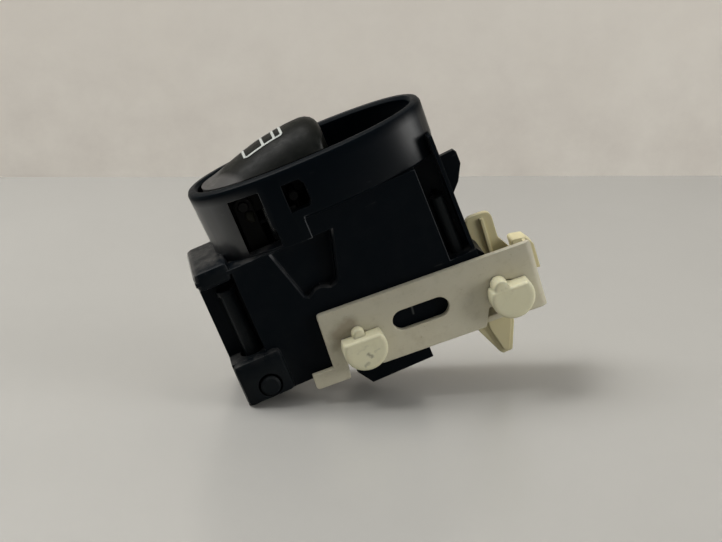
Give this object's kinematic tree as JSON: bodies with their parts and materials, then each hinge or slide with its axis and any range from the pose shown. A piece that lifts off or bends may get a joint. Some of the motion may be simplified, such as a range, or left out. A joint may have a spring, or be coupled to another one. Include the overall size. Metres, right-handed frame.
{
  "type": "power window switch block",
  "caption": "Automotive power window switch with an oval collar, a sprung rocker beside an open finger well, and a nylon mounting bracket with round studs.",
  "frame": {"origin": "centre of the collar's oval opening, in the plane of its rim", "axes": "+Z out of the well towards the finger, +X along the rim's long axis from the rocker to the finger well, +Y away from the side with the windows and the bracket's plate"},
  "size_m": [0.0738, 0.0289, 0.0695],
  "materials": {
    "black_plastic": "satin moulded, dark bluish black",
    "rocker_grey": "fine grained, dark grey",
    "dark_nylon": "smooth moulded",
    "cream_nylon": "smooth, slightly soiled",
    "pale_nylon": "smooth, paler than the bracket",
    "brass": "stamped",
    "steel": "drawn",
    "board_green": "lacquered",
    "light_guide_clear": "clear",
    "lamp_body": "cast resin"
  },
  "bodies": {
    "switch_body": {"housing": "black_plastic", "foot_pin": "black_plastic", "mechanism_frame": "dark_nylon", "pivot_pin": "steel", "spring_left": "steel", "spring_right": "steel", "fixed_contact_left": "brass", "fixed_contact_right": "brass", "circuit_board": "board_green", "lamp": "lamp_body", "light_guide": "light_guide_clear", "base_cover": "black_plastic", "connector_shroud": "black_plastic", "terminal_1": "brass", "terminal_2": "brass", "terminal_3": "brass", "terminal_4": "brass", "terminal_5": "brass", "terminal_6": "brass", "mounting_bracket": "cream_nylon", "stud_left": "pale_nylon", "stud_right": "pale_nylon"},
    "rocker": {"rocker_cap": "rocker_grey", "rocker_lever": "dark_nylon"},
    "left_plunger": {"plunger_left": "dark_nylon", "contact_bridge_left": "brass"},
    "right_plunger": {"plunger_right": "dark_nylon", "contact_bridge_right": "brass"}
  },
  "joints": [
    {"name": "rocker_hinge", "type": "hinge", "parent": "switch_body", "child": "rocker", "pos_m": [-0.0174, 0, -0.0062], "axis": [0, 1, 0], "range_deg": [-6, 6], "stiffness_Nm_per_rad": 0.2},
    {"name": "left_plunger_slide", "type": "slide", "parent": "switch_body", "child": "left_plunger", "axis": [0, 0, 1], "range_m": [-0.00042, 0.00042], "deforming": ["spring_left"]},
    {"name": "right_plunger_slide", "type": "slide", "parent": "switch_body", "child": "right_plunger", "axis": [0, 0, 1], "range_m": [-0.0013, 0.0013], "deforming": ["spring_right"]}
  ],
  "couplings": [
    {"joint": "left_plunger_slide", "follows": "rocker_hinge", "m_per_rad": 0.0036},
    {"joint": "right_plunger_slide", "follows": "rocker_hinge", "m_per_rad": -0.012}
  ]
}
